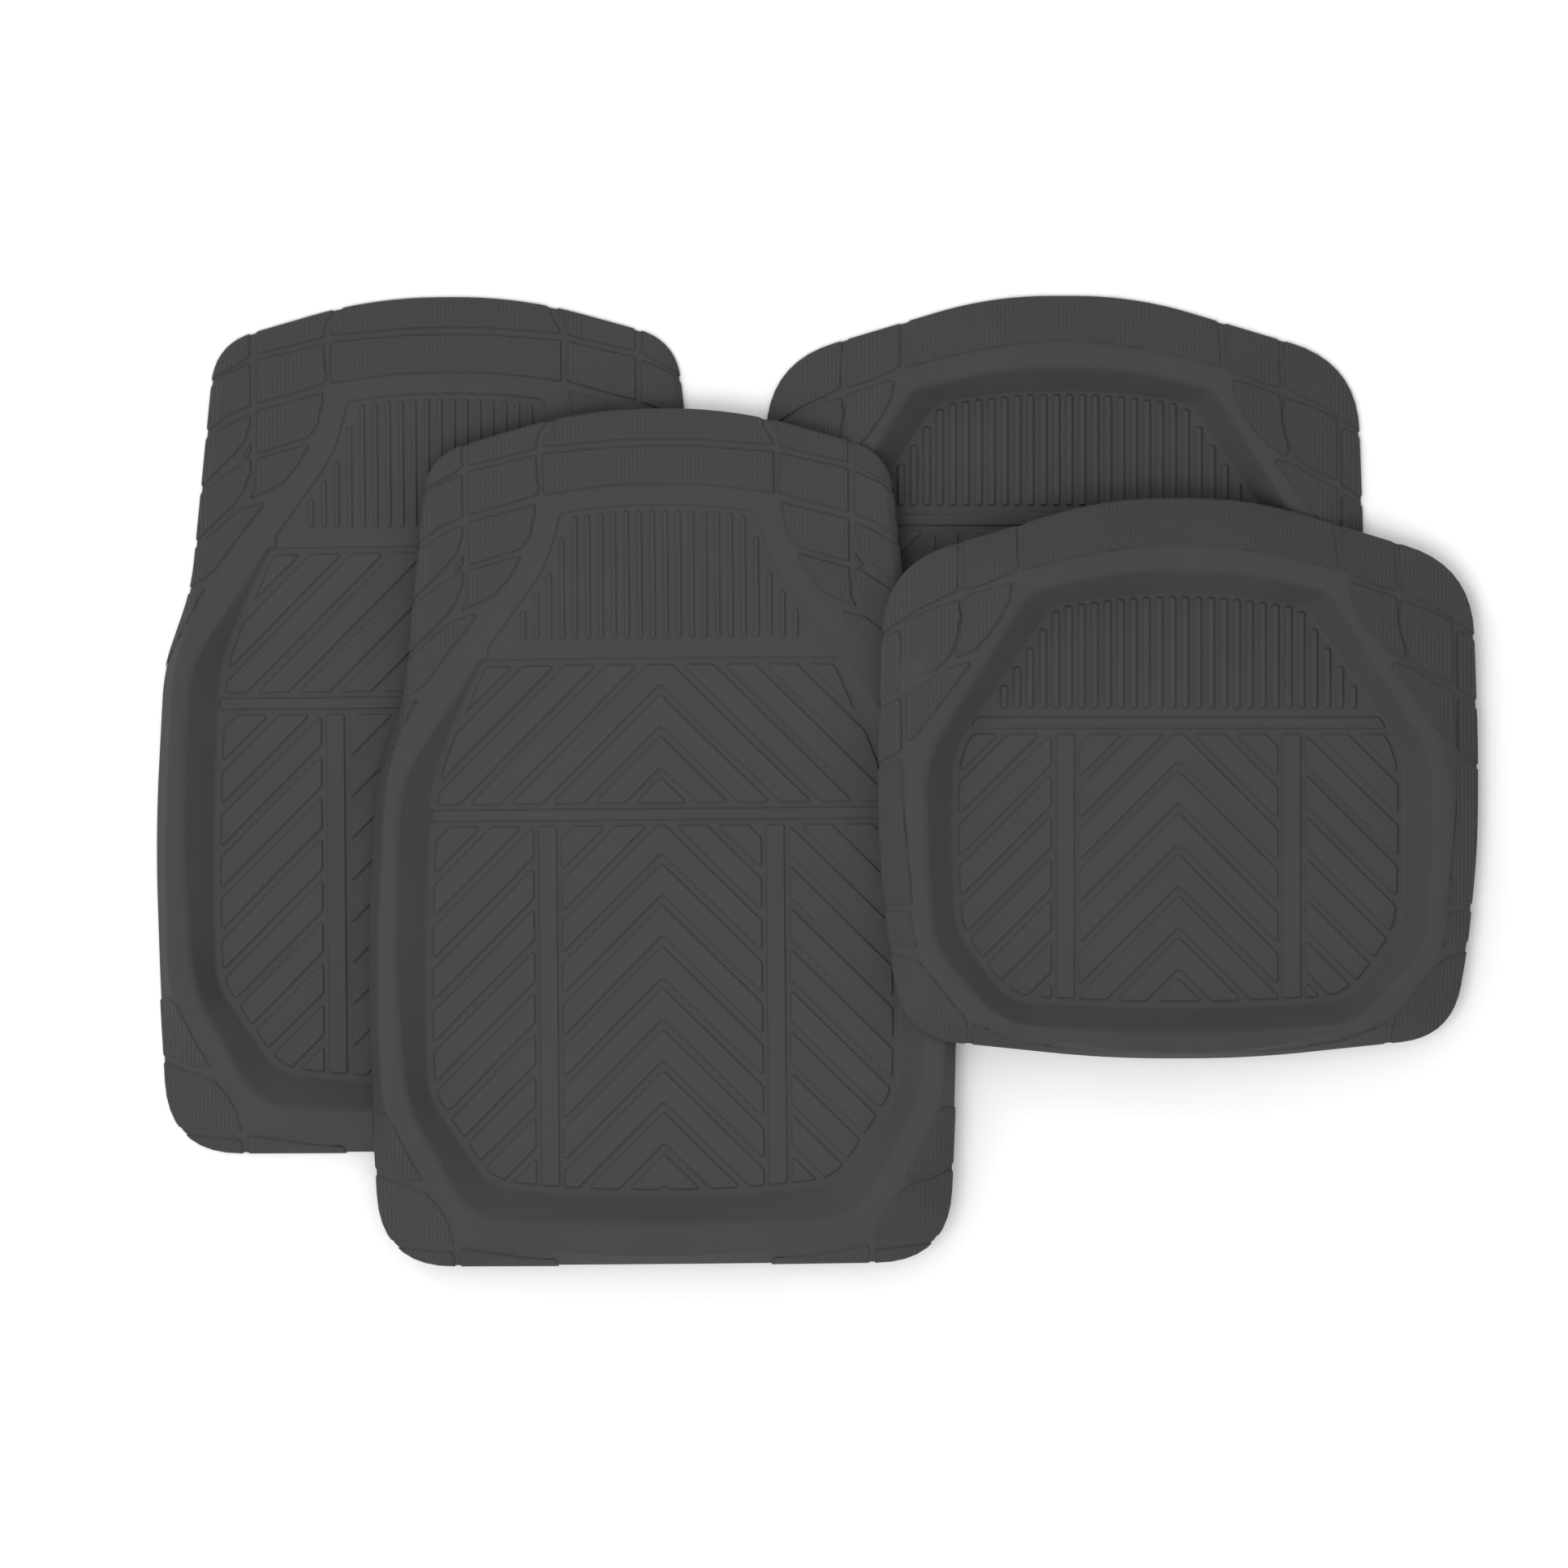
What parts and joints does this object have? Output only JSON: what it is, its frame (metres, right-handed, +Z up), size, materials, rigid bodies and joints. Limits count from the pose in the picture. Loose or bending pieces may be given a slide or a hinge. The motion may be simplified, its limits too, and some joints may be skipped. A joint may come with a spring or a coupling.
{
  "type": "car floor mat set",
  "caption": "Moulded rubber car floor mats with a raised rim and chevron tread: front mats with a low toe end and squarer rear mats, laid in an overlapping fan.",
  "frame": {"origin": "centre of the set's footprint, on the surface that the lowest mats lie on", "axes": "+Z up, +X to the right across the fan from the front mats to the rear mats, +Y towards the toe ends of the mats"},
  "size_m": [1.1236, 0.8242, 0.0751],
  "materials": {
    "mat_rubber": "matt moulded, fine grain, charcoal black"
  },
  "bodies": {
    "front_mat_lower": {"front_mat_lower": "mat_rubber"},
    "front_mat_upper": {"front_mat_upper": "mat_rubber"},
    "rear_mat_lower": {"rear_mat_lower": "mat_rubber"},
    "rear_mat_upper": {"rear_mat_upper": "mat_rubber"}
  },
  "joints": [
    {"name": "front_mat_lift", "type": "slide", "parent": "front_mat_lower", "child": "front_mat_upper", "axis": [0, 0, 1], "range_m": [0, 0.3]},
    {"name": "rear_mat_lift", "type": "slide", "parent": "front_mat_upper", "child": "rear_mat_upper", "axis": [0, 0, 1], "range_m": [0, 0.3]},
    {"name": "rear_mat_pull", "type": "slide", "parent": "front_mat_lower", "child": "rear_mat_lower", "axis": [0, 1, 0], "range_m": [0, 0.3]}
  ]
}
